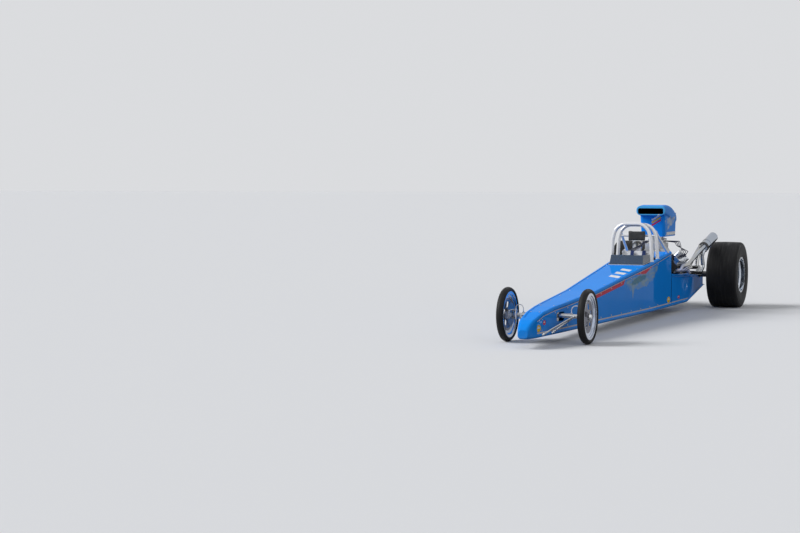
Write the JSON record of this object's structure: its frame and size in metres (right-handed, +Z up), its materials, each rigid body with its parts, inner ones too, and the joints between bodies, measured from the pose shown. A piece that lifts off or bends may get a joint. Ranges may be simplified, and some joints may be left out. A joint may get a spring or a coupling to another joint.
{
  "type": "drag racing car",
  "caption": "Rear-engined drag racing car with a long tube frame, narrow front wheels, wide rear slicks, roll cage and air scoop.",
  "frame": {"origin": "on the floor, under the middle of the car's length and width", "axes": "+X to the car's left, +Y to its tail, +Z up"},
  "size_m": [1.678, 6.9301, 1.3456],
  "materials": {
    "blue_paint": "gloss",
    "white_paint": "gloss",
    "black_steel": "satin",
    "bare_steel": "brushed",
    "aluminium": "satin",
    "polished_aluminium": "polished",
    "chrome": "polished",
    "cast_iron": "painted",
    "tyre_rubber": "matte",
    "screen": "gloss",
    "pad_fabric": "matte"
  },
  "bodies": {
    "root": {"upper_rails": "blue_paint", "lower_rails": "blue_paint", "frame_tubes": "black_steel", "nose_shell": "blue_paint", "axle_side_panels": "blue_paint", "top_panels": "blue_paint", "side_panels": "blue_paint", "tail_panels": "blue_paint", "belly_pan": "aluminium", "windshield": "screen", "bulkheads": "aluminium", "seat_shell": "aluminium", "seat_pads": "pad_fabric", "steering_box": "aluminium", "roll_hoops": "white_paint", "cage_bars": "white_paint", "front_axle": "bare_steel", "axle_plates": "bare_steel", "rear_axle_housing": "black_steel", "engine_block": "cast_iron", "cylinder_heads": "cast_iron", "valve_covers": "chrome", "intake_manifold": "aluminium", "carburettors": "polished_aluminium", "ignition": "black_steel", "motor_plates": "aluminium", "front_drive": "polished_aluminium", "gearbox": "aluminium", "scoop": "blue_paint", "exhaust_headers": "chrome", "tow_tabs": "bare_steel"},
    "steering_wheel": {"steering_wheel": "aluminium"},
    "knuckle_left": {"knuckle_left": "bare_steel"},
    "knuckle_right": {"knuckle_right": "bare_steel"},
    "tie_rod": {"tie_rod": "bare_steel"},
    "front_wheel_left": {"front_tyre_left": "tyre_rubber", "front_rim_left": "polished_aluminium", "front_rotor_left": "bare_steel"},
    "front_wheel_right": {"front_tyre_right": "tyre_rubber", "front_rim_right": "polished_aluminium", "front_rotor_right": "bare_steel"},
    "rear_wheel_left": {"rear_tyre_left": "tyre_rubber", "rear_rim_left": "polished_aluminium"},
    "rear_wheel_right": {"rear_tyre_right": "tyre_rubber", "rear_rim_right": "polished_aluminium"}
  },
  "joints": [
    {"name": "steering_turn", "type": "hinge", "parent": "root", "child": "steering_wheel", "pos_m": [0, 0.52, 0.62], "axis": [0, 0.9397, 0.342], "range_deg": [-90, 90]},
    {"name": "left_steer", "type": "hinge", "parent": "root", "child": "knuckle_left", "pos_m": [0.338, -2.675, 0.28], "axis": [0, 0, 1], "range_deg": [-18, 18]},
    {"name": "right_steer", "type": "hinge", "parent": "root", "child": "knuckle_right", "pos_m": [-0.338, -2.675, 0.28], "axis": [0, 0, 1], "range_deg": [-18, 18]},
    {"name": "tie_rod_swing", "type": "hinge", "parent": "knuckle_left", "child": "tie_rod", "pos_m": [0.338, -2.563, 0.254], "axis": [0, 0, 1], "range_deg": [-18, 18]},
    {"name": "front_left_spin", "type": "hinge", "parent": "knuckle_left", "child": "front_wheel_left", "pos_m": [0.426, -2.675, 0.28], "axis": [1, 0, 0], "continuous": true},
    {"name": "front_right_spin", "type": "hinge", "parent": "knuckle_right", "child": "front_wheel_right", "pos_m": [-0.426, -2.675, 0.28], "axis": [1, 0, 0], "continuous": true},
    {"name": "rear_left_spin", "type": "hinge", "parent": "root", "child": "rear_wheel_left", "pos_m": [0.639, 3.04, 0.425], "axis": [1, 0, 0], "continuous": true},
    {"name": "rear_right_spin", "type": "hinge", "parent": "root", "child": "rear_wheel_right", "pos_m": [-0.639, 3.04, 0.425], "axis": [1, 0, 0], "continuous": true}
  ],
  "couplings": [
    {"joint": "left_steer", "follows": "steering_turn", "ratio": 0.2},
    {"joint": "right_steer", "follows": "steering_turn", "ratio": 0.2},
    {"joint": "tie_rod_swing", "follows": "steering_turn", "ratio": -0.2}
  ]
}
